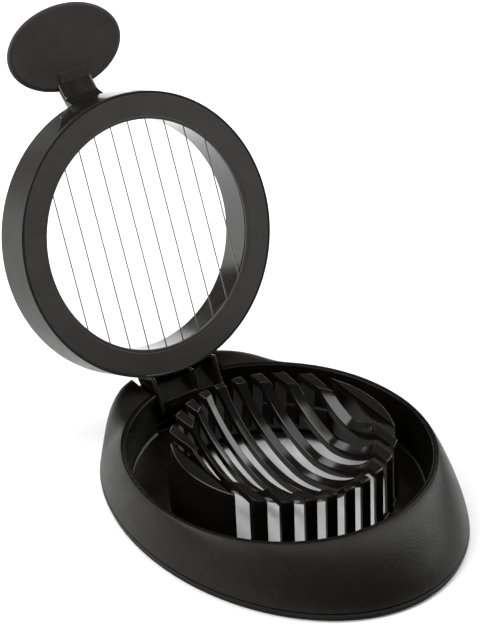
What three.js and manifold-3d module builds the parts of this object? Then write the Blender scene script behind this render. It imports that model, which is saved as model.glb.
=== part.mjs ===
// Round egg slicer, lid standing open on its stop. Millimetres, +Z up.
// X runs across the slicer, +Y points to the hinge, Z = 0 is the surface it stands on.
import * as THREE from "three";
import { mergeVertices } from "three/addons/utils/BufferGeometryUtils.js";
import Module from "manifold-3d";

const wasm = await Module();
wasm.setup();

// ---- Driving dimensions ----------------------------------------------------

// The open slicer is centred on the origin, so the egg cradle's axis stands forward of it.
const cradleAxisY = -27.4;

// Egg cradle: a cup turned upside down, sliced into ribs.
const cradleRadius = 32.8;
const cradleFootRadius = 33.5;
const cradleTop = 23;
const cradleWall = 1.3;
const ribPitch = 6.02;
const slotWidthAtWall = 2.76;
const slotWidthInside = 3.56;
const slotTaperRadius = 27.5;
const slotCount = 10;
const slotFloor = 4.6;

// The hollow that the egg lies in, a rounded diamond in plan.
const seatHalfLength = 28.5;
const seatHalfWidth = 30.6;
const seatDepth = 14.6;
const seatThickness = 2.6;
const seatPlanPower = 1.55;
const seatFullness = 0.85;

// Base: tray inside, skirt outside, foot ring below.
const footHeight = 1.2;
const plasticGap = 0.1;
const floorTop = 2.4;
const trayHoleRadius = 30.9;
const trayInnerRadius = 43.5;
const trayRearReach = 49.5;
const trayWall = 1.4;
const rimHeight = 17;
const rimRearDrop = 1.8;
const skirtHalfWidth = 48.4;
const skirtFrontReach = 63.7;
const skirtRearReach = 63.3;
const skirtCentreY = 0.3;
const skirtWall = 1.8;
const skirtSideRoundness = 1.3;
const skirtFrontRoundness = 1.5;
const earRoundness = 7;
const earFrom = 0.74;
const earSpan = 0.22;
const earSharpness = 3.6;
const notchFloor = 9;

// Hinge.
const hingeY = 50.97;
const hingeZ = 8.85;
const openAngle = THREE.MathUtils.degToRad(113.9);
const pinRadius = 1.5;
const pinHalfLength = 15.5;
const boreGap = 0.25;
const pocketHalfWidth = 12.3;
const pocketRearY = 56.6;
const pocketWall = 0.9;
const bossOuterX = 16.2;
const bossTop = 11.2;
const pocketWallTop = 7.4;
const sillY = 45.4;
const sillTop = 3.3;
const sillThickness = 1.4;

// Lid, drawn closed: its own origin is the ring's centre on the under face.
const lidUnderZ = 5;
const ringInnerRadius = 34.3;
const ringOuterRadius = 42.7;
const ringDepth = 13.04;
const lidGap = 0.3;
const bandThickness = 1.2;
const lipWidth = 0.9;
const retainerThickness = 0.7;
const wireHeight = 1.0;
const wireRadius = 0.2;
const wireAnchor = 1.8;
const armHalfWidth = 11.5;
const armWall = 1.2;
const barrelRadius = 4.4;
const neckHalfWidth = 6;
const neckBaseHalfWidth = 12;

// The arm's side outline: [distance behind the ring's centre, height above its under face].
const armStart = 39.5;
const armUnder = -0.6;
const armLip = [47.6, -1.4];
const armCorner = [52, -1.9];
const armBack = [[45.6, 6.8], [42.3, 8.4], [armStart, 8.4]];
const armPanel = [[armStart, 4.7], [42.4, 4.6], [49, 1.2]];
const armRib = [[armStart, armUnder], [50, -1], [50, 4], [46, 7], [armStart, 7]];
const armRibLeft = 2;
const armBarRear = 50.2;

// The neck's side outline, up from the ring, over to the pad and back, in the same terms.
const neckFace = [[-36.5, 12.4], [-41.9, 12.4], [-41.9, 14.6], [-42.6, 17.4], [-47.7, 20.4]];
const neckBack = [[-48, 23.3], [-46, 22.6], [-41, 19.8], [-38, 16]];
const tongueReach = 55;

// Thumb pad at the lid's front.
const padHalfLength = 19.7;
const padHalfWidth = 12.95;
const padReach = 57.8;
const padUnder = 21;
const padThickness = 3;

// ---- Solid helpers ---------------------------------------------------------

function facingOut(geometry) {
  const position = geometry.getAttribute("position");
  const index = geometry.getIndex();
  const [a, b, c] = [new THREE.Vector3(), new THREE.Vector3(), new THREE.Vector3()];
  let volume = 0;
  for (let i = 0; i < index.count; i += 3) {
    a.fromBufferAttribute(position, index.getX(i));
    b.fromBufferAttribute(position, index.getX(i + 1));
    c.fromBufferAttribute(position, index.getX(i + 2));
    volume += a.dot(b.clone().cross(c));
  }
  if (volume < 0) {
    for (let i = 0; i < index.count; i += 3) {
      const second = index.getX(i + 1);
      index.setX(i + 1, index.getX(i + 2));
      index.setX(i + 2, second);
    }
  }
  return geometry;
}

function cleaned(geometry) {
  geometry.deleteAttribute("normal");
  geometry.deleteAttribute("uv");
  return facingOut(mergeVertices(geometry, 1e-4));
}

function solid(geometry) {
  const clean = cleaned(geometry);
  const mesh = new wasm.Mesh({
    numProp: 3,
    vertProperties: Float32Array.from(clean.getAttribute("position").array),
    triVerts: Uint32Array.from(clean.getIndex().array),
  });
  mesh.merge();
  return new wasm.Manifold(mesh);
}

function geometryOf(manifold) {
  const mesh = manifold.getMesh();
  const geometry = new THREE.BufferGeometry();
  geometry.setAttribute("position", new THREE.BufferAttribute(mesh.vertProperties, 3));
  geometry.setIndex(new THREE.BufferAttribute(mesh.triVerts, 1));
  return geometry;
}

function meshFrom(vertices, triangles) {
  const geometry = new THREE.BufferGeometry();
  geometry.setAttribute("position", new THREE.Float32BufferAttribute(vertices.flat(), 3));
  geometry.setIndex(triangles.flat());
  return geometry;
}

// A block given by its lowest and highest corners.
function block(low, high) {
  const size = high.map((value, axis) => value - low[axis]);
  const centre = high.map((value, axis) => (value + low[axis]) / 2);
  return solid(new THREE.BoxGeometry(...size).translate(...centre));
}

// A round bar along X.
function barAlongX(radius, fromX, toX, y, z, sides = 20) {
  const bar = new THREE.CylinderGeometry(radius, radius, toX - fromX, sides);
  return bar.rotateZ(Math.PI / 2).translate((fromX + toX) / 2, y, z);
}

// A solid turned about the Z axis from a closed outline of [radius, height] points.
function turned(outline, segments = 48) {
  const points = [...outline, outline[0]].map(([radius, height]) => new THREE.Vector2(radius, height));
  return new THREE.LatheGeometry(points, segments).rotateX(Math.PI / 2);
}

// A ring whose section may change on the way round: sectionAt(angle) gives [radius, height] points.
function sweptRing(sectionAt, segments) {
  const vertices = [];
  const triangles = [];
  const size = sectionAt(0).length;
  for (let step = 0; step < segments; step += 1) {
    const angle = (step / segments) * 2 * Math.PI;
    for (const [radius, height] of sectionAt(angle)) {
      vertices.push([radius * Math.cos(angle), radius * Math.sin(angle), height]);
    }
    const here = step * size;
    const next = ((step + 1) % segments) * size;
    for (let i = 0; i < size; i += 1) {
      const j = (i + 1) % size;
      triangles.push([here + i, next + i, next + j], [here + i, next + j, here + j]);
    }
  }
  return meshFrom(vertices, triangles);
}

// A side outline of [y, z] points, extruded across X.
function sidePlate(outline, fromX, toX) {
  const shape = new THREE.Shape(outline.map(([y, z]) => new THREE.Vector2(y, z)));
  const plate = new THREE.ExtrudeGeometry(shape, { depth: toX - fromX, bevelEnabled: false });
  return plate.rotateX(Math.PI / 2).rotateZ(Math.PI / 2).translate(fromX, 0, 0);
}

function arcPoints(centreY, centreZ, radius, fromDegrees, toDegrees, count) {
  return Array.from({ length: count + 1 }, (_, i) => {
    const degrees = fromDegrees + ((toDegrees - fromDegrees) * i) / count;
    const angle = THREE.MathUtils.degToRad(degrees);
    return [centreY + radius * Math.cos(angle), centreZ + radius * Math.sin(angle)];
  });
}

function piece(name, geometry, color, roughness, metalness = 0) {
  const material = new THREE.MeshStandardMaterial({ color, roughness, metalness });
  const mesh = new THREE.Mesh(cleaned(geometry), material);
  mesh.name = name;
  return mesh;
}

// ---- Plan outlines, as distances from the cradle's axis ---------------------

function halfEllipseRadius(angle, halfWidth, reach, centreY) {
  const a = (Math.cos(angle) / halfWidth) ** 2 + (Math.sin(angle) / reach) ** 2;
  const b = (-2 * centreY * Math.sin(angle)) / reach ** 2;
  const c = (centreY / reach) ** 2 - 1;
  return (-b + Math.sqrt(b * b - 4 * a * c)) / (2 * a);
}

function eggRadius(angle, halfWidth, frontReach, rearReach, centreY) {
  const rear = halfEllipseRadius(angle, halfWidth, rearReach, centreY);
  if (rear * Math.sin(angle) >= centreY) return rear;
  return halfEllipseRadius(angle, halfWidth, frontReach, centreY);
}

function trayRadius(angle, offset = 0) {
  return eggRadius(angle, trayInnerRadius + offset, trayInnerRadius + offset, trayRearReach + offset, 0);
}

function skirtRadius(angle, offset = 0) {
  return eggRadius(
    angle, skirtHalfWidth + offset, skirtFrontReach + offset, skirtRearReach + offset, skirtCentreY,
  );
}

function rimZ(angle) {
  return rimHeight - rimRearDrop * Math.max(0, Math.sin(angle)) ** 2;
}

// ---- Base ------------------------------------------------------------------

// How squarely the skirt turns from its top to its side: most at the two ears beside the hinge.
function skirtRoundness(angle) {
  const front = Math.max(0, -Math.sin(angle));
  const ear = Math.min(1, Math.max(0, (Math.sin(angle) - earFrom) / earSpan));
  const plain = skirtSideRoundness + (skirtFrontRoundness - skirtSideRoundness) * front;
  return plain + earRoundness * ear ** earSharpness;
}

// One side of the skirt's wall, from its top inner edge down to its foot.
function skirtProfile(angle, inset) {
  const steps = 8;
  const power = 2 / skirtRoundness(angle);
  const innerEdge = trayRadius(angle, trayWall + 2 * plasticGap);
  const outerEdge = skirtRadius(angle, -inset);
  const bottom = footHeight + plasticGap;
  const height = rimZ(angle) - inset - bottom;
  return Array.from({ length: steps + 1 }, (_, i) => {
    const turn = (i / steps) * (Math.PI / 2);
    const radius = innerEdge + (outerEdge - innerEdge) * Math.sin(turn) ** power;
    return [radius, bottom + height * Math.max(0, Math.cos(turn)) ** power];
  });
}

function skirtSection(angle) {
  return [...skirtProfile(angle, 0), ...skirtProfile(angle, skirtWall).reverse()];
}

// The space under the skirt, for whatever has to fit inside it.
function skirtRoom() {
  const section = (angle) => {
    const under = skirtProfile(angle, skirtWall + plasticGap);
    return [[5, footHeight + plasticGap], [5, under[0][1]], ...under];
  };
  return solid(sweptRing(section, 56));
}

function makeSkirt() {
  const shell = solid(sweptRing(skirtSection, 56));
  const halfWidth = pocketHalfWidth + lidGap;
  const land = block([-halfWidth, 40, footHeight + 4], [halfWidth, pocketRearY + pocketWall + plasticGap, 30]);
  const rear = block([-halfWidth, 50, notchFloor], [halfWidth, 70, 30]);
  return piece("base_skirt", geometryOf(shell.subtract(land).subtract(rear)), 0x1b1a19, 0.6);
}

function traySection(angle) {
  const inner = trayRadius(angle);
  return [
    [trayHoleRadius, footHeight + plasticGap],
    [trayHoleRadius, floorTop],
    [inner - 2, floorTop],
    [inner - 0.5, floorTop + 0.6],
    [inner, floorTop + 2],
    [inner, rimZ(angle)],
    [inner + trayWall, rimZ(angle)],
    [inner + trayWall, footHeight + plasticGap],
  ];
}

// The hinge pocket behind the bowl: its floor, its rear wall and the two pin bosses.
function hingePocket() {
  const bottom = footHeight + plasticGap;
  const rear = pocketRearY + pocketWall;
  const boss = bossOuterX - pocketHalfWidth;
  let pocket = block([-bossOuterX, 40, bottom], [bossOuterX, rear, floorTop]);
  pocket = pocket.add(block([-bossOuterX, pocketRearY, bottom], [bossOuterX, rear, pocketWallTop]));
  for (const x of [-bossOuterX, pocketHalfWidth]) {
    pocket = pocket.add(block([x, 48.4, bottom], [x + boss, 54.4, bossTop]));
    pocket = pocket.add(block([x, 54, bottom], [x + boss, rear, pocketWallTop]));
  }
  return pocket.intersect(skirtRoom());
}

function makeTray() {
  let tray = solid(sweptRing(traySection, 56)).add(hingePocket());
  tray = tray.subtract(block([-pocketHalfWidth, 45.5, floorTop], [pocketHalfWidth, pocketRearY, 30]));
  tray = tray.add(block([-pocketHalfWidth, sillY, 2], [pocketHalfWidth, sillY + sillThickness, sillTop]));
  const bore = barAlongX(pinRadius + boreGap, -pinHalfLength - lidGap, pinHalfLength + lidGap, hingeY, hingeZ);
  return piece("base_tray", geometryOf(tray.subtract(solid(bore))), 0x1d1c1b, 0.35);
}

function makeFootRing() {
  const section = (angle) => {
    const outer = skirtRadius(angle, -0.5);
    return [[outer - 2.6, 0], [outer, 0], [outer, footHeight], [outer - 2.6, footHeight]];
  };
  return piece("foot_ring", sweptRing(section, 56), 0x161616, 0.8);
}

// The egg seat: depth below the cradle's top, over a rounded diamond grown by some margin.
function seatSolid(margin) {
  const rings = 6;
  const segments = 32;
  const power = 2 / seatPlanPower;
  const spread = (value) => Math.sign(value) * Math.abs(value) ** power;
  const lidZ = cradleTop + 1;
  const vertices = [[0, 0, cradleTop - seatDepth - margin], [0, 0, lidZ]];
  const triangles = [];
  const start = (ring) => 2 + ring * segments;
  for (let ring = 1; ring <= rings + 1; ring += 1) {
    const reach = Math.min(1, ring / rings);
    const rise = (seatDepth + margin) * (1 - reach ** 2) ** seatFullness;
    for (let step = 0; step < segments; step += 1) {
      const angle = (step / segments) * 2 * Math.PI;
      const x = (seatHalfLength + margin) * reach * spread(Math.cos(angle));
      const y = (seatHalfWidth + margin) * reach * spread(Math.sin(angle));
      vertices.push([x, y, ring > rings ? lidZ : cradleTop - rise]);
    }
  }
  for (let step = 0; step < segments; step += 1) {
    const next = (step + 1) % segments;
    triangles.push([0, start(0) + next, start(0) + step]);
    triangles.push([1, start(rings) + step, start(rings) + next]);
    for (let ring = 0; ring < rings; ring += 1) {
      const [a, b] = [start(ring) + step, start(ring) + next];
      const [c, d] = [start(ring + 1) + step, start(ring + 1) + next];
      triangles.push([a, b, d], [a, d, c]);
    }
  }
  return solid(meshFrom(vertices, triangles));
}

// A slot between two ribs, narrower where it passes through the cradle's wall.
function slotSolid(x) {
  const inside = slotWidthInside / 2;
  const atWall = slotWidthAtWall / 2;
  const isEnd = Math.abs(x) > (ribPitch * (slotCount - 2)) / 2;
  const [left, right] = [isEnd && x < 0 ? atWall : inside, isEnd && x > 0 ? atWall : inside];
  const innerY = Math.sqrt(Math.max(0, slotTaperRadius ** 2 - x ** 2));
  const outerY = Math.sqrt(cradleRadius ** 2 - x ** 2);
  const plan = [
    [x - atWall, -40], [x + atWall, -40], [x + atWall, -outerY], [x + right, -innerY],
    [x + right, innerY], [x + atWall, outerY], [x + atWall, 40], [x - atWall, 40],
    [x - atWall, outerY], [x - left, innerY], [x - left, -innerY], [x - atWall, -outerY],
  ];
  const shape = new THREE.Shape(plan.map(([px, py]) => new THREE.Vector2(px, py)));
  const depth = cradleTop + 5 - slotFloor;
  return solid(new THREE.ExtrudeGeometry(shape, { depth, bevelEnabled: false }).translate(0, 0, slotFloor));
}

function makeCradle() {
  const bottom = floorTop + plasticGap;
  const outline = [[0, bottom], [cradleFootRadius, bottom], [cradleRadius, cradleTop], [0, cradleTop]];
  const uncut = solid(turned(outline));
  const cup = solid(turned([
    [cradleFootRadius - cradleWall, bottom], [cradleFootRadius, bottom], [cradleRadius, cradleTop],
    [0, cradleTop], [0, cradleTop - seatThickness], [cradleRadius - cradleWall, cradleTop - seatThickness],
  ]));
  const endX = ((slotCount - 1) / 2) * ribPitch + slotWidthAtWall / 2;
  const ends = block([endX, -40, slotFloor], [40, 40, 30]).add(block([-40, -40, slotFloor], [-endX, 40, 30]));
  let cradle = cup.add(seatSolid(seatThickness).intersect(uncut)).add(ends.intersect(uncut)).subtract(seatSolid(0));
  for (let i = 0; i < slotCount; i += 1) {
    cradle = cradle.subtract(slotSolid((i - (slotCount - 1) / 2) * ribPitch));
  }
  return piece("egg_cradle", geometryOf(cradle), 0x0d0d0d, 0.12);
}

function makePin() {
  const pin = barAlongX(pinRadius, -pinHalfLength, pinHalfLength, hingeY, hingeZ);
  return piece("hinge_pin", pin, 0x9a9a98, 0.3, 1);
}

// ---- Lid, drawn closed about the ring's centre ------------------------------

const axisInLid = [hingeY, hingeZ - lidUnderZ];

function armPlate(fromX, toX) {
  const barrel = arcPoints(...axisInLid, barrelRadius, -50, 100, 7);
  return solid(sidePlate([[armStart, armUnder], armLip, armCorner, ...barrel, ...armBack], fromX, toX));
}

function armWeb() {
  const barrel = arcPoints(...axisInLid, barrelRadius - armWall, 250, 460, 8);
  return solid(sidePlate([...armPanel, ...barrel, ...armBack], -armHalfWidth, armHalfWidth));
}

function makeArm() {
  const inner = armHalfWidth - armWall;
  const plates = armPlate(-armHalfWidth, -inner).add(armPlate(inner, armHalfWidth));
  const rib = solid(sidePlate(armRib, armRibLeft, armRibLeft + armWall));
  const bar = block([-inner - 0.2, armBarRear - 1, -1.1], [armRibLeft + 0.4, armBarRear, 0]);
  const clearOfLip = ringOuterRadius + 2 * lidGap;
  const lipRoom = turned([[30, -3], [clearOfLip, -3], [clearOfLip, 1.6], [30, 1.6]]);
  const bore = barAlongX(pinRadius + boreGap, -pinHalfLength, pinHalfLength, ...axisInLid);
  return armWeb().add(plates).add(rib).add(bar).subtract(solid(lipRoom)).subtract(solid(bore));
}

function makeNeck() {
  const tongue = [
    [-47.7, padUnder + 0.6], [-tongueReach, padUnder + 0.6],
    [-tongueReach, padUnder + 1.8], [-48.3, padUnder + 1.8],
  ];
  return solid(sidePlate([...neckFace, ...tongue, ...neckBack], -neckHalfWidth, neckHalfWidth));
}

function makeLidFrame() {
  const outer = ringOuterRadius - bandThickness - lidGap;
  const under = retainerThickness + 2 * wireRadius + lidGap;
  let frame = solid(turned([
    [ringInnerRadius + 0.2, under], [outer, under], [outer, ringDepth], [ringInnerRadius + 0.5, ringDepth],
  ]));
  const wall = turned([[40, 1.7], [ringOuterRadius - 0.1, 1.7], [ringOuterRadius - 0.2, ringDepth], [40, ringDepth]]);
  const neckSide = block([-neckBaseHalfWidth, -45, 0], [neckBaseHalfWidth, -30, ringDepth + 1]);
  frame = frame.add(solid(wall).intersect(neckSide));
  frame = frame.add(makeArm()).add(makeNeck());
  return piece("lid_frame", geometryOf(frame), 0x0f0f0f, 0.15);
}

function makeLidBand() {
  const inner = ringOuterRadius - bandThickness;
  const outline = [
    [ringOuterRadius - lipWidth, 0], [ringOuterRadius, 0], [ringOuterRadius, ringDepth],
    [inner, ringDepth], [inner, 1.2], [ringOuterRadius - lipWidth, 1.2],
  ];
  const neckGap = block([-neckBaseHalfWidth - lidGap, -50, 1.4], [neckBaseHalfWidth + lidGap, -20, 20]);
  const armGap = block([-armHalfWidth - lidGap, 20, 1.3], [armHalfWidth + lidGap, 50, 20]);
  const band = solid(turned(outline, 56)).subtract(neckGap).subtract(armGap);
  return piece("lid_band", geometryOf(band), 0x1d1c1b, 0.5);
}

function makeRetainer() {
  const outer = ringOuterRadius - lipWidth - lidGap;
  const outline = [
    [ringInnerRadius, 0], [outer, 0], [outer, retainerThickness], [ringInnerRadius, retainerThickness],
  ];
  return piece("wire_retainer", turned(outline), 0x23211f, 0.45);
}

function makePad() {
  const steps = 40;
  const oval = (scale, height) => Array.from({ length: steps }, (_, i) => {
    const angle = (i / steps) * 2 * Math.PI;
    const x = (padHalfLength - scale) * Math.cos(angle);
    return [x, -padReach + (padHalfWidth - scale) * Math.sin(angle), height];
  });
  const levels = [
    oval(0.9, padUnder), oval(0, padUnder + 0.9), oval(0, padUnder + 1.5), oval(1.2, padUnder + padThickness),
  ];
  const vertices = [...levels.flat(), [0, -padReach, padUnder], [0, -padReach, padUnder + padThickness]];
  const last = levels.length - 1;
  const triangles = [];
  for (let i = 0; i < steps; i += 1) {
    const j = (i + 1) % steps;
    triangles.push([vertices.length - 2, j, i]);
    triangles.push([vertices.length - 1, last * steps + i, last * steps + j]);
    for (let level = 0; level < last; level += 1) {
      const [a, b] = [level * steps + i, level * steps + j];
      triangles.push([a, b, b + steps], [a, b + steps, a + steps]);
    }
  }
  const roomHalf = neckHalfWidth + lidGap;
  const mouth = block([-roomHalf, -48 - lidGap, 10], [roomHalf, -40, 30]);
  const slot = block([-roomHalf, -tongueReach - lidGap, padUnder + 0.3], [roomHalf, -40, padUnder + 2.1]);
  const pad = solid(meshFrom(vertices, triangles)).subtract(mouth).subtract(slot);
  return piece("thumb_pad", geometryOf(pad), 0x2a2725, 0.7);
}

function makeWire(number) {
  const x = (number - (slotCount + 1) / 2) * ribPitch;
  const halfLength = Math.sqrt(ringInnerRadius ** 2 - x ** 2) + wireAnchor;
  const wire = new THREE.CylinderGeometry(wireRadius, wireRadius, 2 * halfLength, 8);
  const name = `wire_${String(number).padStart(2, "0")}`;
  return piece(name, wire.translate(x, 0, wireHeight), 0x8f8b84, 0.3, 1);
}

// ---- Assembly --------------------------------------------------------------

const base = new THREE.Group();
base.add(makeSkirt(), makeTray(), makeFootRing(), makeCradle(), makePin());

const lidDrawing = new THREE.Group();
lidDrawing.position.set(0, -hingeY, lidUnderZ - hingeZ);
lidDrawing.add(makeLidFrame(), makeLidBand(), makeRetainer(), makePad());
for (let number = 1; number <= slotCount; number += 1) lidDrawing.add(makeWire(number));

const lid = new THREE.Group();
lid.position.set(0, hingeY, hingeZ);
lid.rotation.x = -openAngle;
lid.add(lidDrawing);

const slicer = new THREE.Group();
slicer.position.y = cradleAxisY;
slicer.add(base, lid);

export default slicer;
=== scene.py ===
import math

import bmesh
import bpy
from mathutils import Matrix, Vector


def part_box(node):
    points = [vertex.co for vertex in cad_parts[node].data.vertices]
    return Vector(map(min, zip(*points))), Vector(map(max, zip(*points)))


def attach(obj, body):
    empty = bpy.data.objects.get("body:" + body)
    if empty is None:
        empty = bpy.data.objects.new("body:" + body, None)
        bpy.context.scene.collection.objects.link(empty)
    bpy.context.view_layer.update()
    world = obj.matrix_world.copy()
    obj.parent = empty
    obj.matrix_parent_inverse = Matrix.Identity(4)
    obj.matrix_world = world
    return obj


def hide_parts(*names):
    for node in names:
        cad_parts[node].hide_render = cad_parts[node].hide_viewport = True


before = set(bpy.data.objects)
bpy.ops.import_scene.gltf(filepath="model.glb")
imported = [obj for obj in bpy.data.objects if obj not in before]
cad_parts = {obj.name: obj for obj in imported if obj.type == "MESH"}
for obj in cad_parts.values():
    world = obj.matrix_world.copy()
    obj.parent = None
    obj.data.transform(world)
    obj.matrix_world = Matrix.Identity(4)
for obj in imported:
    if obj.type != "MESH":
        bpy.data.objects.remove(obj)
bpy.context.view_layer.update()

# ---- Dimensions, in millimetres ----------------------------------------------

MM = 0.001

CRADLE_RADIUS = 32.8
CRADLE_FOOT_RADIUS = 33.5
CRADLE_TOP = 23
CRADLE_WALL = 1.3
SEAT_THICKNESS = 2.6
CRADLE_BOTTOM = 2.5
RIB_PITCH = 6.02
RIB_WIDTH_INSIDE = 2.45
RIB_WIDTH_AT_WALL = 3.3
RIB_TAPER_FROM = 27
RIB_TAPER_OVER = 5.8
SLOT_COUNT = 10
SLOT_FLOOR = 4.6

SEAT_HALF_LENGTH = 28.5
SEAT_HALF_WIDTH = 30.6
SEAT_DEPTH = 14.6
SEAT_PLAN_POWER = 1.55
SEAT_FULLNESS = 0.85
RIB_UNDER = SLOT_FLOOR - 0.4
RIB_EDGE = 0.3

FOOT_HEIGHT = 1.2
FOOT_INSET = 0.5
FOOT_WIDTH = 2.6
FLOOR_TOP = 2.4
TRAY_HOLE_RADIUS = 30.9
TRAY_INNER_RADIUS = 43.5
TRAY_REAR_REACH = 49.5
TRAY_WALL = 1.4
RIM_HEIGHT = 17
RIM_REAR_DROP = 1.8
SKIRT_HALF_WIDTH = 48.4
SKIRT_FRONT_REACH = 63.7
SKIRT_REAR_REACH = 63.3
SKIRT_CENTRE_Y = 0.3
SKIRT_WALL = 1.8
SKIRT_STEPS = 26
SKIRT_SIDE_ROUNDNESS = 1.3
SKIRT_FRONT_ROUNDNESS = 1.5
EAR_ROUNDNESS = 7
EAR_FROM = 0.74
EAR_SPAN = 0.22
EAR_SHARPNESS = 3.6
GROOVE_TOP = 2.75
GROOVE_BOTTOM = 2.35
GROOVE_DEPTH = 0.4
NOTCH_FLOOR = 9
NOTCH_FLARE = 1.6
PARTING_GAP = 0.1

HINGE_LOCAL_Y = 50.97
HINGE_LOCAL_Z = 8.85
PIN_RADIUS = 1.5
PIN_HALF_LENGTH = 15.5
POCKET_HALF_WIDTH = 12.3
POCKET_FRONT_Y = 45.5
POCKET_REAR_Y = 56.6
POCKET_WALL = 0.9
POCKET_WALL_TOP = 7.4
BOSS_OUTER_X = 16.2
BOSS_TOP = 11.2
BOSS_FRONT_Y = 48.4
BOSS_REAR_Y = 54.4
SILL_FRONT_Y = 45.4
SILL_REAR_Y = 46.8
SILL_TOP = 3.3

LID_UNDER_Z = 5
RING_INNER_RADIUS = 34.3
RING_OUTER_RADIUS = 42.7
RING_DEPTH = 13.04
BAND_THICKNESS = 1.2
BAND_EDGE = 0.35
BAND_LOW = 1.3
LID_GAP = 0.3
LIP_WIDTH = 0.6
LIP_GAP = 0.15
RETAINER_THICKNESS = 0.7
WIRE_HEIGHT = 1.0
WIRE_RADIUS = 0.2
WIRE_ANCHOR = 1.7
ARM_HALF_WIDTH = 11.5
ARM_WALL = 1.2
BARREL_RADIUS = 4.4
ARM_BACK = [(45.6, 6.8, 1.2), (42.4, 8.4, 0.6)]
ARM_RIB_LEFT = 2
ARM_BAR_REAR = 50.2
NECK_WALL_LOW = 1.75
NECK_HALF_WIDTH = 5.9
GAP_HALF_WIDTH = 13.3
GAP_FLARE = 6.8

PAD_HALF_LENGTH = 19.7
PAD_HALF_WIDTH = 12.85
PAD_REACH = 57.8
PAD_UNDER = 21
PAD_THICKNESS = 3

# ---- Placing ------------------------------------------------------------------

cradle_low, cradle_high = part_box("egg_cradle")
AXIS_Y = (cradle_low[1] + cradle_high[1]) / 2
OPEN_ANGLE = math.radians(113.9)

BASE_PLACE = Matrix.Translation((0, AXIS_Y, 0)) @ Matrix.Scale(MM, 4)
LID_PLACE = (
    Matrix.Translation((0, AXIS_Y + HINGE_LOCAL_Y * MM, HINGE_LOCAL_Z * MM))
    @ Matrix.Rotation(-OPEN_ANGLE, 4, "X")
    @ Matrix.Translation((0, -HINGE_LOCAL_Y * MM, (LID_UNDER_Z - HINGE_LOCAL_Z) * MM))
    @ Matrix.Scale(MM, 4)
)

# ---- Mesh helpers ---------------------------------------------------------------


class Draft:
    """Points and faces of one object, gathered from several lofts."""

    def __init__(self):
        self.points = []
        self.faces = []

    def loft(self, loops, ring=False):
        """Joins loops of equal length by faces: closed into a ring, or capped at both ends."""
        start = len(self.points)
        size = len(loops[0])
        for loop in loops:
            self.points.extend(loop)
        last = len(loops) if ring else len(loops) - 1
        for k in range(last):
            here = start + k * size
            there = start + ((k + 1) % len(loops)) * size
            for i in range(size):
                j = (i + 1) % size
                self.faces.append((here + i, here + j, there + j, there + i))
        if not ring:
            self.faces.append(tuple(start + i for i in reversed(range(size))))
            end = start + (len(loops) - 1) * size
            self.faces.append(tuple(end + i for i in range(size)))
        return self


def mesh_of(name, draft):
    """The draft as a mesh in millimetres, with its faces pointing out."""
    mesh = bpy.data.meshes.new(name)
    mesh.from_pydata([tuple(p) for p in draft.points], [], draft.faces)
    work = bmesh.new()
    work.from_mesh(mesh)
    bmesh.ops.recalc_face_normals(work, faces=work.faces)
    bmesh.ops.triangulate(work, faces=[face for face in work.faces if len(face.verts) > 4])
    work.to_mesh(mesh)
    work.free()
    return mesh


def linked(name, data):
    """A new object in the scene that shows the mesh, light or camera."""
    obj = bpy.data.objects.new(name, data)
    bpy.context.scene.collection.objects.link(obj)
    return obj


def without(mesh, cuts):
    """The mesh with the cutting drafts' shapes taken out of it."""
    whole = linked("whole", mesh)
    cutters = [linked("cutter", mesh_of("cutter", draft)) for draft in cuts]
    for cutter in cutters:
        cutting = whole.modifiers.new("cutting", "BOOLEAN")
        cutting.operation = "DIFFERENCE"
        cutting.solver = "MANIFOLD"
        cutting.object = cutter
    bpy.context.view_layer.update()
    evaluated = whole.evaluated_get(bpy.context.evaluated_depsgraph_get())
    result = bpy.data.meshes.new_from_object(evaluated)
    for obj in [whole, *cutters]:
        bpy.data.objects.remove(obj)
    return result


def finished(name, draft, place, body, node, material, cuts=(), sharp=34):
    """Makes the object, rides it on its body and hides the CAD node it stands for."""
    mesh = mesh_of(name, draft)
    if cuts:
        mesh = without(mesh, cuts)
    mesh.transform(place)
    mesh.shade_smooth()
    mesh.set_sharp_from_angle(angle=math.radians(sharp))
    mesh.materials.clear()
    mesh.materials.append(materials[material])
    obj = linked(name, mesh)
    even = obj.modifiers.new("even_faces", "WEIGHTED_NORMAL")
    even.keep_sharp = True
    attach(obj, body)
    if node:
        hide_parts(node)
    return obj


def rounded(outline, steps=3):
    """Rounds the corners of a closed outline of (u, v, radius) points."""
    out = []
    count = len(outline)
    for i, (u, v, radius) in enumerate(outline):
        here = Vector((u, v))
        before = Vector(outline[i - 1][:2]) - here
        after = Vector(outline[(i + 1) % count][:2]) - here
        if radius <= 0:
            out.append((u, v))
            continue
        half = before.angle(after, math.pi) / 2
        back = min(radius / max(math.tan(half), 0.05), 0.49 * before.length, 0.49 * after.length)
        start = here + before.normalized() * back
        end = here + after.normalized() * back
        for k in range(steps + 1):
            t = k / steps
            spot = start * (1 - t) ** 2 + here * (2 * t * (1 - t)) + end * t ** 2
            out.append((spot.x, spot.y))
    return out


def inset(outline, amount):
    """Moves a closed outline inwards by amount."""
    if amount == 0:
        return list(outline)
    count = len(outline)
    area = sum(
        outline[i][0] * outline[(i + 1) % count][1] - outline[(i + 1) % count][0] * outline[i][1]
        for i in range(count)
    )
    side = 1 if area > 0 else -1
    out = []
    for i, (u, v) in enumerate(outline):
        before = Vector((u - outline[i - 1][0], v - outline[i - 1][1]))
        after = Vector((outline[(i + 1) % count][0] - u, outline[(i + 1) % count][1] - v))
        if before.length < 1e-9:
            before = after
        if after.length < 1e-9:
            after = before
        normal = Vector((-before.y, before.x)).normalized() + Vector((-after.y, after.x)).normalized()
        if normal.length < 1e-6:
            out.append((u, v))
            continue
        normal.normalize()
        out.append((u + side * normal.x * amount, v + side * normal.y * amount))
    return out


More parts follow.
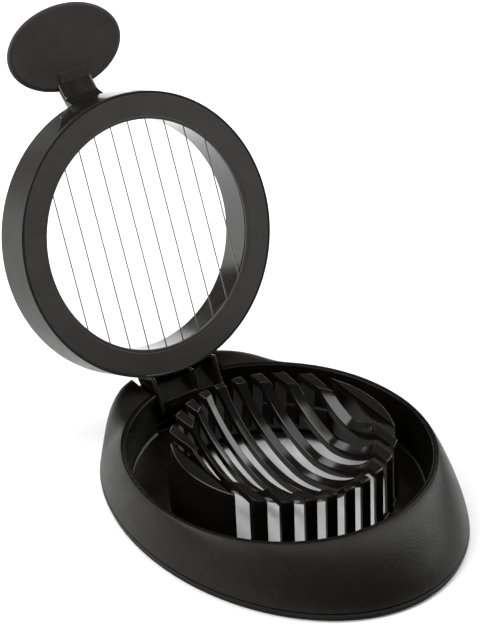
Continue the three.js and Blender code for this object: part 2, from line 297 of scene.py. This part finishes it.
def edge_rounding(radius, steps=3):
    """(distance from the face, inset) pairs that round the edge of a slab."""
    pairs = []
    for k in range(steps + 1):
        turn = (k / steps) * math.pi / 2
        pairs.append((radius * (1 - math.cos(turn)), radius * (1 - math.sin(turn))))
    return pairs


def turned(draft, outline, segments=160):
    """Turns an outline of (radius, height) points about the Z axis."""
    return swept_round(draft, lambda angle: outline, segments)


def swept_round(draft, section_at, segments):
    """Sweeps a section of (radius, height) points, which may change on the way, round the Z axis."""
    loops = []
    for k in range(segments):
        angle = 2 * math.pi * k / segments
        loops.append([(r * math.cos(angle), r * math.sin(angle), z) for r, z in section_at(angle)])
    return draft.loft(loops, ring=True)


def plate(draft, outline, from_x, to_x, radius=0.3):
    """A slab across X from a side outline of (y, z) points, with rounded edges."""
    pairs = edge_rounding(radius)
    loops = [[(from_x + d, y, z) for y, z in inset(outline, amount)] for d, amount in pairs]
    loops += [[(to_x - d, y, z) for y, z in inset(outline, amount)] for d, amount in reversed(pairs)]
    return draft.loft(loops)


def slab(draft, low, high, radius=0.3):
    """A block with rounded edges, given by its lowest and highest corners."""
    outline = rounded([
        (low[1], low[2], radius), (high[1], low[2], radius),
        (high[1], high[2], radius), (low[1], high[2], radius),
    ])
    return plate(draft, outline, low[0], high[0], radius)


# ---- Plan outlines, as distances from the cradle's axis ---------------------------


def half_ellipse_radius(angle, half_width, reach, centre_y):
    a = (math.cos(angle) / half_width) ** 2 + (math.sin(angle) / reach) ** 2
    b = (-2 * centre_y * math.sin(angle)) / reach ** 2
    c = (centre_y / reach) ** 2 - 1
    return (-b + math.sqrt(b * b - 4 * a * c)) / (2 * a)


def egg_radius(angle, half_width, front_reach, rear_reach, centre_y):
    rear = half_ellipse_radius(angle, half_width, rear_reach, centre_y)
    if rear * math.sin(angle) >= centre_y:
        return rear
    return half_ellipse_radius(angle, half_width, front_reach, centre_y)


def tray_radius(angle, offset=0.0):
    width = TRAY_INNER_RADIUS + offset
    return egg_radius(angle, width, width, TRAY_REAR_REACH + offset, 0)


def skirt_radius(angle, offset=0.0):
    return egg_radius(
        angle, SKIRT_HALF_WIDTH + offset, SKIRT_FRONT_REACH + offset, SKIRT_REAR_REACH + offset,
        SKIRT_CENTRE_Y,
    )


def rim_z(angle):
    return RIM_HEIGHT - RIM_REAR_DROP * max(0, math.sin(angle)) ** 2


# ---- Materials --------------------------------------------------------------------


def node_material(name):
    material = bpy.data.materials.new(name)
    material.use_nodes = True
    nodes = material.node_tree.nodes
    return material, nodes, material.node_tree.links, nodes["Principled BSDF"]


def noise_of(nodes, links, scale, detail=3.0, stretch=(1, 1, 1)):
    place = nodes.new("ShaderNodeTexCoord")
    mapping = nodes.new("ShaderNodeMapping")
    mapping.inputs["Scale"].default_value = stretch
    noise = nodes.new("ShaderNodeTexNoise")
    noise.inputs["Scale"].default_value = scale
    noise.inputs["Detail"].default_value = detail
    links.new(place.outputs["Object"], mapping.inputs["Vector"])
    links.new(mapping.outputs["Vector"], noise.inputs["Vector"])
    return noise


def ramp_between(nodes, links, factor, low, high, from_at=0.35, to_at=0.65):
    ramp = nodes.new("ShaderNodeValToRGB")
    ramp.color_ramp.elements[0].position = from_at
    ramp.color_ramp.elements[1].position = to_at
    ramp.color_ramp.elements[0].color = (*low, 1)
    ramp.color_ramp.elements[1].color = (*high, 1)
    links.new(factor, ramp.inputs["Fac"])
    return ramp


def spread_of(nodes, links, factor, low, high):
    spread = nodes.new("ShaderNodeMapRange")
    spread.inputs["From Min"].default_value = 0.3
    spread.inputs["From Max"].default_value = 0.7
    spread.inputs["To Min"].default_value = low
    spread.inputs["To Max"].default_value = high
    links.new(factor, spread.inputs["Value"])
    return spread


def plastic(name, dark, light, roughness, grain_scale, grain_depth, specular=0.5):
    """Moulded plastic: faint colour drift, uneven gloss and a moulded grain."""
    material, nodes, links, shader = node_material(name)
    drift = noise_of(nodes, links, 90, 4)
    colour = ramp_between(nodes, links, drift.outputs["Fac"], dark, light)
    links.new(colour.outputs["Color"], shader.inputs["Base Color"])
    uneven = noise_of(nodes, links, 260, 5)
    gloss = spread_of(nodes, links, uneven.outputs["Fac"], roughness[0], roughness[1])
    links.new(gloss.outputs["Result"], shader.inputs["Roughness"])
    shader.inputs["Specular IOR Level"].default_value = specular
    grain = noise_of(nodes, links, grain_scale, 2)
    bump = nodes.new("ShaderNodeBump")
    bump.inputs["Strength"].default_value = 1.0
    bump.inputs["Distance"].default_value = grain_depth
    links.new(grain.outputs["Fac"], bump.inputs["Height"])
    links.new(bump.outputs["Normal"], shader.inputs["Normal"])
    return material


def steel(name, tint, roughness, stretch, scale):
    """Drawn steel with fine marks along its length."""
    material, nodes, links, shader = node_material(name)
    marks = noise_of(nodes, links, scale, 3, stretch)
    colour = ramp_between(nodes, links, marks.outputs["Fac"], tuple(0.75 * c for c in tint), tint)
    links.new(colour.outputs["Color"], shader.inputs["Base Color"])
    gloss = spread_of(nodes, links, marks.outputs["Fac"], roughness[0], roughness[1])
    links.new(gloss.outputs["Result"], shader.inputs["Roughness"])
    shader.inputs["Metallic"].default_value = 1.0
    return material


materials = {
    "skirt_soft_touch": plastic(
        "skirt_soft_touch", dark=(0.0055, 0.0048, 0.0042), light=(0.0078, 0.0068, 0.0062),
        roughness=(0.34, 0.42), grain_scale=2300, grain_depth=0.00009, specular=0.15,
    ),
    "tray_satin": plastic(
        "tray_satin", dark=(0.0026, 0.0020, 0.0015), light=(0.0038, 0.0030, 0.0023),
        roughness=(0.22, 0.3), grain_scale=5200, grain_depth=0.00001, specular=0.1,
    ),
    "foot_rubber": plastic(
        "foot_rubber", dark=(0.008, 0.0075, 0.007), light=(0.011, 0.010, 0.0095),
        roughness=(0.7, 0.8), grain_scale=3000, grain_depth=0.00003, specular=0.2,
    ),
    "cradle_gloss": plastic(
        "cradle_gloss", dark=(0.0028, 0.0022, 0.0017), light=(0.0040, 0.0032, 0.0026),
        roughness=(0.13, 0.19), grain_scale=900, grain_depth=0.000006, specular=0.27,
    ),
    "pin_steel": steel("pin_steel", (0.35, 0.34, 0.32), (0.3, 0.42), (8, 1, 1), 700),
    "frame_gloss": plastic(
        "frame_gloss", dark=(0.0036, 0.0029, 0.0023), light=(0.0052, 0.0042, 0.0034),
        roughness=(0.12, 0.18), grain_scale=900, grain_depth=0.000004, specular=0.5,
    ),
    "band_satin": plastic(
        "band_satin", dark=(0.0060, 0.0052, 0.0046), light=(0.0080, 0.0070, 0.0062),
        roughness=(0.3, 0.38), grain_scale=4600, grain_depth=0.00001, specular=0.25,
    ),
    "retainer_satin": plastic(
        "retainer_satin", dark=(0.022, 0.0190, 0.0160), light=(0.028, 0.0245, 0.0210),
        roughness=(0.42, 0.5), grain_scale=4600, grain_depth=0.00001, specular=0.4,
    ),
    "pad_soft_touch": plastic(
        "pad_soft_touch", dark=(0.019, 0.0155, 0.0140), light=(0.024, 0.0200, 0.0182),
        roughness=(0.5, 0.6), grain_scale=4200, grain_depth=0.00003, specular=0.25,
    ),
    "wire_steel": steel("wire_steel", (0.22, 0.21, 0.20), (0.3, 0.42), (1, 0.1, 1), 3000),
}

# ---- Egg cradle -------------------------------------------------------------------


def cradle_outer(z):
    drop = (CRADLE_TOP - z) / (CRADLE_TOP - CRADLE_BOTTOM)
    return CRADLE_RADIUS + (CRADLE_FOOT_RADIUS - CRADLE_RADIUS) * drop


def seat_share(x, y, margin):
    along = (abs(x) / (SEAT_HALF_LENGTH + margin)) ** SEAT_PLAN_POWER
    across = (abs(y) / (SEAT_HALF_WIDTH + margin)) ** SEAT_PLAN_POWER
    return (along + across) ** (1 / SEAT_PLAN_POWER)


def seat_z(x, y, margin=0.0):
    share = min(1.0, seat_share(x, y, margin))
    return CRADLE_TOP - (SEAT_DEPTH + margin) * (1 - share ** 2) ** SEAT_FULLNESS


def seat_edge_y(x):
    along = (abs(x) / SEAT_HALF_LENGTH) ** SEAT_PLAN_POWER
    return SEAT_HALF_WIDTH * max(0.0, 1 - along) ** (1 / SEAT_PLAN_POWER)


def rib_outline(x):
    """One rib's side outline at x: outer walls, flat tops, seat and underside."""
    wall = 5
    seat_steps = 44
    under_steps = 24
    edge = seat_edge_y(x)
    right = []
    for k in range(wall + 1):
        z = RIB_UNDER + (CRADLE_TOP - RIB_UNDER) * k / wall
        right.append((math.sqrt(cradle_outer(z) ** 2 - x * x), z, 0.45 if k == wall else 0))
    seat = [(edge, CRADLE_TOP, 0.4)]
    for k in range(seat_steps + 1):
        y = (edge - 0.9) * math.cos(math.pi * k / seat_steps)
        seat.append((y, seat_z(x, y), 0))
    seat.append((-edge, CRADLE_TOP, 0.4))
    left = [(-y, z, r) for y, z, r in reversed(right)]
    inner_low = math.sqrt((cradle_outer(RIB_UNDER) - CRADLE_WALL) ** 2 - x * x)
    inner_high = math.sqrt((CRADLE_RADIUS - CRADLE_WALL) ** 2 - x * x)
    under = [(-inner_low, RIB_UNDER, 0)]
    for k in range(under_steps + 1):
        y = -inner_high + 2 * inner_high * k / under_steps
        under.append((y, min(CRADLE_TOP - SEAT_THICKNESS, seat_z(x, y, SEAT_THICKNESS)), 0))
    under.append((inner_low, RIB_UNDER, 0))
    return rounded(right + seat + left + under)


def rib_half_width(centre_x, y):
    """Half a rib's width: thin in the seat, thicker where the rib meets the outer wall."""
    out = (math.hypot(centre_x, y) - RIB_TAPER_FROM) / RIB_TAPER_OVER
    return (RIB_WIDTH_INSIDE + (RIB_WIDTH_AT_WALL - RIB_WIDTH_INSIDE) * min(1, max(0, out))) / 2


def rib(draft, centre_x):
    near = edge_rounding(RIB_EDGE)
    stations = [(-1, distance, amount) for distance, amount in near]
    stations += [(0, 0, 0)]
    stations += [(1, distance, amount) for distance, amount in reversed(near)]
    loops = []
    for side, distance, amount in stations:
        x = centre_x + side * (RIB_WIDTH_INSIDE / 2 - distance)
        loop = []
        for y, z in inset(rib_outline(x), amount):
            loop.append((centre_x + side * (rib_half_width(centre_x, y) - distance), y, z))
        loops.append(loop)
    draft.loft(loops)


def end_rib(draft, side):
    """The crescent beyond the last slot: flat towards the slot, round outside."""
    chord = (RIB_PITCH * SLOT_COUNT - RIB_WIDTH_AT_WALL) / 2
    steps = 40
    levels = [(RIB_UNDER, 0), (12, 0)]
    levels += [(CRADLE_TOP - d, amount) for d, amount in reversed(edge_rounding(0.4))]
    loops = []
    for z, amount in levels:
        radius = cradle_outer(z)
        half_turn = math.acos(chord / radius)
        plan = []
        for k in range(steps + 1):
            angle = -half_turn + 2 * half_turn * k / steps
            corner = 0.7 if k in (0, steps) else 0
            plan.append((radius * math.cos(angle), radius * math.sin(angle), corner))
        loops.append([(side * x, y, z) for x, y in inset(rounded(plan), amount)])
    draft.loft(loops)


def make_cradle():
    draft = Draft()
    for k in range(1, SLOT_COUNT):
        rib(draft, (k - SLOT_COUNT / 2) * RIB_PITCH)
    end_rib(draft, 1)
    end_rib(draft, -1)
    inner = CRADLE_FOOT_RADIUS - CRADLE_WALL
    turned(draft, rounded([
        (inner, CRADLE_BOTTOM, 0), (CRADLE_FOOT_RADIUS + 0.01, CRADLE_BOTTOM, 0),
        (cradle_outer(SLOT_FLOOR) + 0.01, SLOT_FLOOR, 0.2), (inner, SLOT_FLOOR, 0.2),
    ]))
    finished("cradle", draft, BASE_PLACE, "base", "egg_cradle", "cradle_gloss")


# ---- Base -------------------------------------------------------------------------


def skirt_roundness(angle):
    """How squarely the skirt turns from top to side: most at the two ears beside the hinge."""
    front = max(0, -math.sin(angle))
    ear = min(1, max(0, (math.sin(angle) - EAR_FROM) / EAR_SPAN))
    plain = SKIRT_SIDE_ROUNDNESS + (SKIRT_FRONT_ROUNDNESS - SKIRT_SIDE_ROUNDNESS) * front
    return plain + EAR_ROUNDNESS * ear ** EAR_SHARPNESS


def skirt_point(angle, inward, turn):
    """A point of the skirt's section. turn is 0 at the top inner edge and a right angle at the foot."""
    power = 2 / skirt_roundness(angle)
    inner_edge = tray_radius(angle, TRAY_WALL + 2 * PARTING_GAP)
    outer_edge = skirt_radius(angle, -inward)
    bottom = FOOT_HEIGHT + PARTING_GAP
    height = rim_z(angle) - inward - bottom
    radius = inner_edge + (outer_edge - inner_edge) * math.sin(turn) ** power
    return radius, bottom + height * max(0, math.cos(turn)) ** power


def turn_at_height(angle, z):
    bottom = FOOT_HEIGHT + PARTING_GAP
    share = (z - bottom) / (rim_z(angle) - bottom)
    return math.acos(share ** (skirt_roundness(angle) / 2))


def skirt_outside(angle):
    """The outer face from top to foot, with the fine parting groove a little above the foot."""
    above = turn_at_height(angle, GROOVE_TOP)
    below = turn_at_height(angle, GROOVE_BOTTOM)
    points = [skirt_point(angle, 0, above * i / SKIRT_STEPS) for i in range(SKIRT_STEPS + 1)]
    points.append((points[-1][0] - GROOVE_DEPTH, GROOVE_TOP - 0.12))
    low_radius, low_z = skirt_point(angle, 0, below)
    points.append((low_radius - GROOVE_DEPTH, low_z + 0.08))
    points += [skirt_point(angle, 0, below + (math.pi / 2 - below) * i / 4) for i in range(5)]
    foot_edge, bottom = points.pop()
    return points + [(foot_edge - 0.03, bottom + 0.25), (foot_edge - 0.25, bottom)]


def skirt_inside(angle):
    turns = [math.pi / 2 * i / SKIRT_STEPS for i in range(SKIRT_STEPS, -1, -1)]
    return [skirt_point(angle, SKIRT_WALL, turn) for turn in turns]


def make_skirt():
    draft = Draft()
    swept_round(draft, lambda angle: skirt_outside(angle) + skirt_inside(angle), 220)
    half = POCKET_HALF_WIDTH + LID_GAP
    land_rear = POCKET_REAR_Y + POCKET_WALL + 0.1
    land_cut = slab(Draft(), (-half, 40, FOOT_HEIGHT + 4), (half, land_rear, 30), 0.2)
    flare = half + NOTCH_FLARE
    mouth = rounded([
        (-half, NOTCH_FLOOR, 0.8), (half, NOTCH_FLOOR, 0.8), (half, 14.6, 0.8), (flare, 16.4, 0),
        (flare, 30, 0), (-flare, 30, 0), (-flare, 16.4, 0), (-half, 14.6, 0.8),
    ], 6)
    rear_cut = Draft().loft([[(x, y, z) for x, z in mouth] for y in (46, 72)])
    finished("skirt", draft, BASE_PLACE, "base", "base_skirt", "skirt_soft_touch", [land_cut, rear_cut])


def tray_section(angle):
    inner = tray_radius(angle)
    top = rim_z(angle)
    outer = inner + TRAY_WALL
    under = FOOT_HEIGHT + PARTING_GAP
    return rounded([
        (TRAY_HOLE_RADIUS, under, 0), (TRAY_HOLE_RADIUS, FLOOR_TOP, 0.3), (inner - 1.0, FLOOR_TOP, 1.6),
        (inner, FLOOR_TOP + 3, 3.0), (inner, top, 0.35), (outer, top, 0.35), (outer, under, 0),
    ], 5)


def make_tray():
    draft = swept_round(Draft(), tray_section, 200)
    half = POCKET_HALF_WIDTH
    opening = slab(Draft(), (-half, POCKET_FRONT_Y, FLOOR_TOP), (half, 60, 30), 0.05)
    finished("tray", draft, BASE_PLACE, "base", "base_tray", "tray_satin", [opening])


def make_hinge_pocket():
    """The pocket's floor, rear wall and sill, and the boss and wall on each side of the arm."""
    pocket = Draft()
    rear = POCKET_REAR_Y + POCKET_WALL
    bottom = FOOT_HEIGHT + PARTING_GAP
    outer = BOSS_OUTER_X
    half = POCKET_HALF_WIDTH
    slab(pocket, (-outer, POCKET_FRONT_Y, bottom), (outer, rear, FLOOR_TOP), 0.2)
    slab(pocket, (-outer, POCKET_REAR_Y, bottom), (outer, rear, POCKET_WALL_TOP), 0.3)
    slab(pocket, (-half, SILL_FRONT_Y, 2), (half, SILL_REAR_Y, SILL_TOP), 0.45)
    for low, high in ((-outer, -half), (half, outer)):
        slab(pocket, (low, BOSS_FRONT_Y, bottom), (high, BOSS_REAR_Y, BOSS_TOP), 0.5)
        slab(pocket, (low, BOSS_REAR_Y - 0.4, bottom), (high, rear, POCKET_WALL_TOP), 0.4)
    finished("hinge_pocket", pocket, BASE_PLACE, "base", None, "tray_satin")


def foot_section(angle):
    outer = skirt_radius(angle, -FOOT_INSET)
    inner = outer - FOOT_WIDTH
    return rounded([
        (inner, 0, 0.4), (outer, 0, 0.3), (outer, FOOT_HEIGHT, 0.4), (inner, FOOT_HEIGHT, 0.15),
    ])


def make_foot():
    draft = swept_round(Draft(), foot_section, 200)
    finished("foot", draft, BASE_PLACE, "base", "foot_ring", "foot_rubber")


def make_pin():
    sides = 28
    circle = []
    for k in range(sides):
        angle = 2 * math.pi * k / sides
        y = HINGE_LOCAL_Y + PIN_RADIUS * math.cos(angle)
        circle.append((y, HINGE_LOCAL_Z + PIN_RADIUS * math.sin(angle)))
    draft = plate(Draft(), circle, -PIN_HALF_LENGTH, PIN_HALF_LENGTH, 0.25)
    finished("pin", draft, BASE_PLACE, "base", "hinge_pin", "pin_steel")


# ---- Lid --------------------------------------------------------------------------

AXIS_IN_LID = (HINGE_LOCAL_Y, HINGE_LOCAL_Z - LID_UNDER_Z)


def arc_points(centre, radius, from_degrees, to_degrees, count):
    points = []
    for k in range(count + 1):
        angle = math.radians(from_degrees + (to_degrees - from_degrees) * k / count)
        points.append((centre[0] + radius * math.cos(angle), centre[1] + radius * math.sin(angle), 0))
    return points


def make_arm(draft):
    """Two flanges, the panel between them, and the rib and cross bar in front of the panel."""
    flange = rounded(
        [(41.6, -0.8, 0.3), (47.6, -1.4, 0), (52, -1.9, 0.5), (53.6, -0.4, 0.4)]
        + arc_points(AXIS_IN_LID, BARREL_RADIUS, -40, 100, 14)
        + [ARM_BACK[0], (41.6, 8.4, 0.6)])
    panel = rounded(
        [(42.4, 4.6, 0.4), (49, 1.2, 0.6)]
        + arc_points(AXIS_IN_LID, BARREL_RADIUS - ARM_WALL, 250, 460, 18)
        + ARM_BACK)
    inner = ARM_HALF_WIDTH - ARM_WALL
    plate(draft, panel, -inner - 0.4, inner + 0.4, 0.1)
    plate(draft, flange, -ARM_HALF_WIDTH, -inner)
    plate(draft, flange, inner, ARM_HALF_WIDTH)
    middle = rounded([(43.1, -0.9, 0.3), (49.9, -1, 0.3), (49.9, 4, 0.3), (46, 7, 0), (42.4, 7, 0)])
    plate(draft, middle, ARM_RIB_LEFT, ARM_RIB_LEFT + ARM_WALL)
    slab(draft, (-inner - 0.2, ARM_BAR_REAR - 1, -1.1), (ARM_RIB_LEFT + 0.4, ARM_BAR_REAR, 0), 0.45)


def make_neck(draft):
    outline = rounded([
        (-38, 12.4, 0), (-41.9, 12.4, 0), (-42.1, 15.2, 1.4), (-43.4, 18.4, 2.0), (-47.7, 20.6, 0.5),
        (-47.9, PAD_UNDER + 0.9, 0), (-54.6, PAD_UNDER + 0.9, 0), (-54.6, PAD_UNDER + 1.8, 0),
        (-48.3, PAD_UNDER + 1.8, 0), (-47.4, PAD_UNDER + 1.9, 0.6), (-41, 19.4, 1.5), (-38, 15.6, 0.6),
    ], 5)
    plate(draft, outline, -NECK_HALF_WIDTH, NECK_HALF_WIDTH, 0.7)


def gap_half_width(height):
    """Half the width of the gap that the outer band leaves round the neck."""
    share = (RING_DEPTH - height) / (RING_DEPTH - 1.4)
    return GAP_HALF_WIDTH + GAP_FLARE * share ** 2.2


def make_lid_frame():
    draft = Draft()
    outer = RING_OUTER_RADIUS - BAND_THICKNESS - LID_GAP
    under = RETAINER_THICKNESS + 2 * WIRE_RADIUS + LID_GAP
    turned(draft, rounded([
        (RING_INNER_RADIUS + 0.2, under, 0.2), (outer, under, 0.2), (outer, RING_DEPTH, 0.3),
        (RING_INNER_RADIUS + 0.5, RING_DEPTH, 0.6),
    ]), 200)
    neck_wall(draft)
    make_arm(draft)
    make_neck(draft)
    finished("frame", draft, LID_PLACE, "lid", "lid_frame", "frame_gloss")


def neck_wall(draft):
    """The glossy wall that fills the band's gap round the neck."""
    columns = 40
    rows = 12
    outside = RING_OUTER_RADIUS - 0.12
    inside = RING_OUTER_RADIUS - BAND_THICKNESS - 0.5

    def wall_point(column, row, radius):
        height = NECK_WALL_LOW + (RING_DEPTH - NECK_WALL_LOW) * row / rows
        half_turn = math.asin((gap_half_width(height) - 0.25) / RING_OUTER_RADIUS)
        angle = -math.pi / 2 + half_turn * (2 * column / columns - 1)
        return radius * math.cos(angle), radius * math.sin(angle), height

    loops = []
    for column in range(columns + 1):
        up = [wall_point(column, row, outside) for row in range(rows + 1)]
        down = [wall_point(column, row, inside) for row in range(rows, -1, -1)]
        loops.append(up + down)
    draft.loft(loops)


def band_half(draft, side):
    """The band on one side of the ring, from the neck's gap round to the arm's."""
    columns = 70
    rows = 10
    inner = RING_OUTER_RADIUS - BAND_THICKNESS
    arm_turn = math.asin((ARM_HALF_WIDTH + 0.4) / RING_OUTER_RADIUS)
    heights = [BAND_LOW + (RING_DEPTH - BAND_LOW) * j / rows for j in range(rows + 1)]
    levels = [(height, height, RING_OUTER_RADIUS) for height in heights[:-1]]
    levels.append((RING_DEPTH, RING_DEPTH - BAND_EDGE, RING_OUTER_RADIUS))
    levels.append((RING_DEPTH, RING_DEPTH, RING_OUTER_RADIUS - BAND_EDGE))
    loops = []
    for i in range(columns + 1):
        outside = []
        inside = []
        for gap_at, height, outer in levels:
            neck_turn = math.asin(gap_half_width(gap_at) / RING_OUTER_RADIUS)
            angle = -math.pi / 2 + side * (neck_turn + (math.pi - neck_turn - arm_turn) * i / columns)
            outside.append((outer * math.cos(angle), outer * math.sin(angle), height))
            inside.append((inner * math.cos(angle), inner * math.sin(angle), height))
        loops.append(outside + inside[::-1])
    draft.loft(loops)


def make_band():
    draft = Draft()
    lip = RING_OUTER_RADIUS - LIP_WIDTH
    turned(draft, rounded([
        (lip, 0, 0.12), (RING_OUTER_RADIUS, 0, 0.2), (RING_OUTER_RADIUS, 1.45, 0), (lip, 1.45, 0),
    ]), 220)
    band_half(draft, -1)
    band_half(draft, 1)
    finished("band", draft, LID_PLACE, "lid", "lid_band", "band_satin")


def make_retainer():
    inner = RING_INNER_RADIUS
    outer = RING_OUTER_RADIUS - LIP_WIDTH - LIP_GAP
    draft = turned(Draft(), rounded([
        (inner, 0, 0.25), (inner + 0.8, 0, 0.1), (inner + 0.95, 0.12, 0.05), (inner + 1.1, 0, 0.1),
        (outer, 0, 0.12), (outer, RETAINER_THICKNESS, 0), (inner, RETAINER_THICKNESS, 0),
    ]), 220)
    finished("retainer", draft, LID_PLACE, "lid", "wire_retainer", "retainer_satin")


def make_pad():
    """The oval pad, stacked from levels of (inset, height above its underside), and its shallow step."""
    draft = Draft()
    count = 96
    levels = [
        (6.0, 0.25), (3.2, 0.2), (1.5, 0), (0.9, 0), (0.45, 0.12), (0.12, 0.4), (0, 0.8), (0.05, 1.3),
        (0.3, 1.75), (0.9, 2.2), (2.2, 2.65), (4.5, 2.9), (8, PAD_THICKNESS),
    ]
    loops = []
    for inward, height in levels:
        loop = []
        for k in range(count):
            angle = 2 * math.pi * k / count
            x = (PAD_HALF_LENGTH - inward) * math.cos(angle)
            y = -PAD_REACH + (PAD_HALF_WIDTH - inward) * math.sin(angle)
            loop.append((x, y, PAD_UNDER + height))
        loops.append(loop)
    draft.loft(loops)
    slab(draft, (-4.6, -50.8, PAD_UNDER - 0.15), (4.6, -47.6, PAD_UNDER + 1), 0.14)
    finished("pad", draft, LID_PLACE, "lid", "thumb_pad", "pad_soft_touch")


def make_wires():
    sides = 12
    spans = 8
    for number in range(1, SLOT_COUNT + 1):
        x = (number - (SLOT_COUNT + 1) / 2) * RIB_PITCH
        half = math.sqrt(RING_INNER_RADIUS ** 2 - x * x) + WIRE_ANCHOR
        loops = []
        for k in range(spans + 1):
            y = -half + 2 * half * k / spans
            loop = []
            for i in range(sides):
                angle = 2 * math.pi * i / sides
                aside = WIRE_RADIUS * math.cos(angle)
                loop.append((x + aside, y, WIRE_HEIGHT + WIRE_RADIUS * math.sin(angle)))
            loops.append(loop)
        name = f"wire_{number:02d}"
        finished(f"steel_{name}", Draft().loft(loops), LID_PLACE, "lid", name, "wire_steel")


make_cradle()
make_skirt()
make_tray()
make_hinge_pocket()
make_foot()
make_pin()
make_lid_frame()
make_band()
make_retainer()
make_pad()
make_wires()

# ---- Table, light and camera --------------------------------------------------------


def make_table():
    mesh = bpy.data.meshes.new("table_top")
    half = 8.0
    corners = [(-half, -half, 0), (half, -half, 0), (half, half, 0), (-half, half, 0)]
    mesh.from_pydata(corners, [], [(0, 1, 2, 3)])
    table = linked("table_top", mesh)
    material, nodes, links, shader = node_material("table_white")
    tone = noise_of(nodes, links, 3, 2)
    colour = ramp_between(nodes, links, tone.outputs["Fac"], (0.86, 0.86, 0.86), (0.88, 0.88, 0.88))
    links.new(colour.outputs["Color"], shader.inputs["Base Color"])
    shader.inputs["Roughness"].default_value = 0.9
    shader.inputs["Specular IOR Level"].default_value = 0.0
    mesh.materials.append(material)


def soft_box(name, place, target, size, power):
    light = bpy.data.lights.new(name, "AREA")
    light.shape = "RECTANGLE"
    light.size = size[0]
    light.size_y = size[1]
    light.energy = power
    holder = linked(name, light)
    holder.location = place
    aim = Vector(target) - Vector(place)
    holder.rotation_euler = aim.to_track_quat("-Z", "Y").to_euler()


def make_lights():
    world = bpy.data.worlds.new("studio")
    world.use_nodes = True
    background = world.node_tree.nodes["Background"]
    background.inputs["Color"].default_value = (1, 1, 1, 1)
    background.inputs["Strength"].default_value = 0.16
    bpy.context.scene.world = world
    soft_box("overhead", (0.0, 0.1, 1.2), (0, 0, 0), (0.8, 0.6), 5)
    soft_box("left", (-0.9, 0.35, 0.8), (0, 0, 0.02), (1.0, 1.0), 22)
    soft_box("right", (0.9, 0.05, 0.75), (0, 0, 0.02), (0.7, 0.8), 11)
    soft_box("front_right", (0.85, -0.4, 0.35), (0, 0, 0.02), (0.4, 0.4), 2.5)
    soft_box("back", (0.1, 1.1, 0.6), (0, 0, 0.05), (0.9, 0.4), 4)


def make_camera():
    azimuth = math.radians(-35.3)
    elevation = math.radians(33.06)
    roll = math.radians(-0.27)
    distance = 1.09476
    aside = -0.01087
    above = 0.03376
    level_share = math.cos(elevation)
    back = Vector((
        math.sin(azimuth) * level_share, -math.cos(azimuth) * level_share, math.sin(elevation)))
    right = Vector((math.cos(azimuth), math.sin(azimuth), 0))
    up = back.cross(right)
    aim = Vector((0, AXIS_Y, CRADLE_TOP * MM))
    place = aim + back * distance + right * aside + up * above
    level = right * math.cos(roll) + up * math.sin(roll)
    upright = up * math.cos(roll) - right * math.sin(roll)
    camera = bpy.data.cameras.new("camera")
    camera.lens = 213.8
    camera.sensor_width = 36
    camera.clip_start = 0.01
    holder = linked("camera", camera)
    turn = Matrix((level, upright, back)).transposed().to_4x4()
    holder.matrix_world = Matrix.Translation(place) @ turn
    bpy.context.scene.camera = holder


make_table()
make_lights()
make_camera()
bpy.context.scene.view_settings.view_transform = "Standard"
